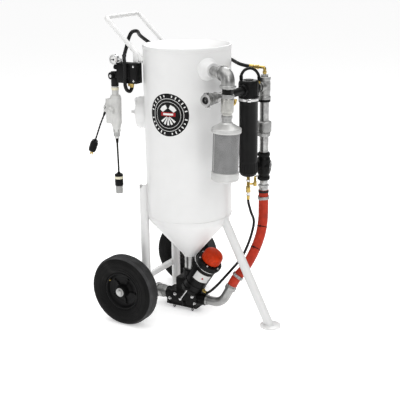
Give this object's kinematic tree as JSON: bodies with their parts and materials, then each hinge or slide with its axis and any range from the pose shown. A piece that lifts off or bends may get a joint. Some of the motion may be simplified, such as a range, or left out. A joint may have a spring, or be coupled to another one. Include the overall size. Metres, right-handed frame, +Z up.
{
  "type": "portable abrasive blast pot",
  "caption": "White steel blast pot on two wheels and a front leg, with a metering valve under its cone, an air filter, a red pusher hose, a silencer and a rear control group.",
  "frame": {"origin": "on the floor, under the middle of the box of everything but the two hanging cords and what is on them", "axes": "+Z up, +X along the axle, -Y towards the front leg, +Y towards the wheels and the handle"},
  "size_m": [0.774, 1.084, 1.6182],
  "materials": {
    "white_paint": "gloss powder coat",
    "galvanised": "zinc plated, dull and slightly mottled",
    "black_casting": "black painted casting",
    "black_plastic": "moulded",
    "tyre_rubber": "matte",
    "black_rubber": "smooth hose rubber",
    "red_rubber": "wrapped hose cover",
    "orange_plastic": "moulded",
    "bright_steel": "polished",
    "brass": "machined",
    "warm_steel": "yellow passivated zinc",
    "grey_casting": "cast, slightly rough",
    "filter_paper": "pleated"
  },
  "bodies": {
    "pot": {"vessel_shell": "white_paint", "top_head": "white_paint", "bottom_cone": "white_paint", "popup_gasket": "black_rubber", "popup_guide_pipe": "galvanised", "handway_ring": "white_paint", "handway_gasket": "black_rubber", "handway_cover": "white_paint", "handway_yoke": "white_paint", "near_upright": "white_paint", "far_upright": "white_paint", "cross_tube": "white_paint", "axle": "galvanised", "front_leg": "white_paint", "push_handle": "white_paint", "outlet_nipple": "galvanised", "metering_body": "black_casting", "cleanout_plate": "black_casting", "metering_bonnet": "black_casting", "metering_spring": "bright_steel", "blast_hose_coupling": "galvanised", "inlet_elbow": "galvanised", "pusher_hose": "red_rubber", "lower_hose_clamp": "galvanised", "upper_hose_clamp": "galvanised", "hose_stem": "galvanised", "blast_air_valve": "black_casting", "stack_pipe": "galvanised", "inlet_tee": "galvanised", "filter_head": "black_casting", "filter_bowl": "black_casting", "filter_element": "filter_paper", "drain_fitting": "brass", "air_inlet": "galvanised", "exhaust_valve": "warm_steel", "silencer_head": "grey_casting", "silencer_body": "grey_casting", "exhaust_elbow": "galvanised", "control_block": "black_plastic", "gauge_body": "bright_steel", "conduit_body": "grey_casting", "plug_cord": "black_rubber", "plug": "black_plastic", "socket_cord": "black_rubber", "socket_connector": "black_plastic", "blast_control_hose": "black_rubber", "rear_control_hose": "black_rubber", "filter_link_hose": "black_rubber"},
    "near_wheel": {"near_tyre": "tyre_rubber", "near_rim": "black_plastic"},
    "far_wheel": {"far_tyre": "tyre_rubber", "far_rim": "black_plastic"},
    "popup_plunger": {"popup_plunger": "black_rubber"},
    "metering_knob": {"metering_knob": "orange_plastic"},
    "metering_plunger": {"metering_plunger": "galvanised"},
    "cleanout_lever": {"cleanout_lever": "bright_steel"},
    "gauge_needle": {"gauge_needle": "black_plastic"},
    "regulator_knob": {"regulator_knob": "black_plastic"},
    "handway_nut": {"handway_nut": "white_paint"},
    "drain_lever": {"drain_lever": "brass"}
  },
  "joints": [
    {"name": "near_wheel_spin", "type": "hinge", "parent": "pot", "child": "near_wheel", "pos_m": [-0.327, 0.27669, 0.192], "axis": [1, 0, 0], "continuous": true},
    {"name": "far_wheel_spin", "type": "hinge", "parent": "pot", "child": "far_wheel", "pos_m": [0.327, 0.27669, 0.192], "axis": [1, 0, 0], "continuous": true},
    {"name": "popup_plunger_slide", "type": "slide", "parent": "pot", "child": "popup_plunger", "axis": [0, 0, 1], "range_m": [0, 0.024]},
    {"name": "metering_knob_turn", "type": "hinge", "parent": "pot", "child": "metering_knob", "pos_m": [0, 0.09569, 0.072], "axis": [0, -0.5592, 0.829], "range_deg": [0, 720]},
    {"name": "metering_plunger_slide", "type": "slide", "parent": "pot", "child": "metering_plunger", "axis": [0, -0.5592, 0.829], "range_m": [0, 0.016]},
    {"name": "cleanout_lever_turn", "type": "hinge", "parent": "pot", "child": "cleanout_lever", "pos_m": [-0.042, 0.08769, 0.078], "axis": [-1, 0, 0], "range_deg": [0, 90]},
    {"name": "gauge_needle_turn", "type": "hinge", "parent": "pot", "child": "gauge_needle", "pos_m": [-0.174, 0.40169, 1.395], "axis": [-1, 0, 0], "range_deg": [0, 270], "stiffness_Nm_per_rad": 0.002},
    {"name": "regulator_knob_turn", "type": "hinge", "parent": "pot", "child": "regulator_knob", "pos_m": [-0.165, 0.37469, 1.356], "axis": [0, 1, 0], "range_deg": [0, 720]},
    {"name": "handway_nut_turn", "type": "hinge", "parent": "pot", "child": "handway_nut", "pos_m": [-0.07856, 0.33665, 1.11], "axis": [-0.2756, 0.9613, 0], "continuous": true},
    {"name": "drain_lever_turn", "type": "hinge", "parent": "pot", "child": "drain_lever", "pos_m": [0.105, -0.28148, 0.778], "axis": [0, 0, 1], "range_deg": [0, 90]}
  ],
  "couplings": [
    {"joint": "metering_plunger_slide", "follows": "metering_knob_turn", "m_per_rad": 0.0012732}
  ]
}
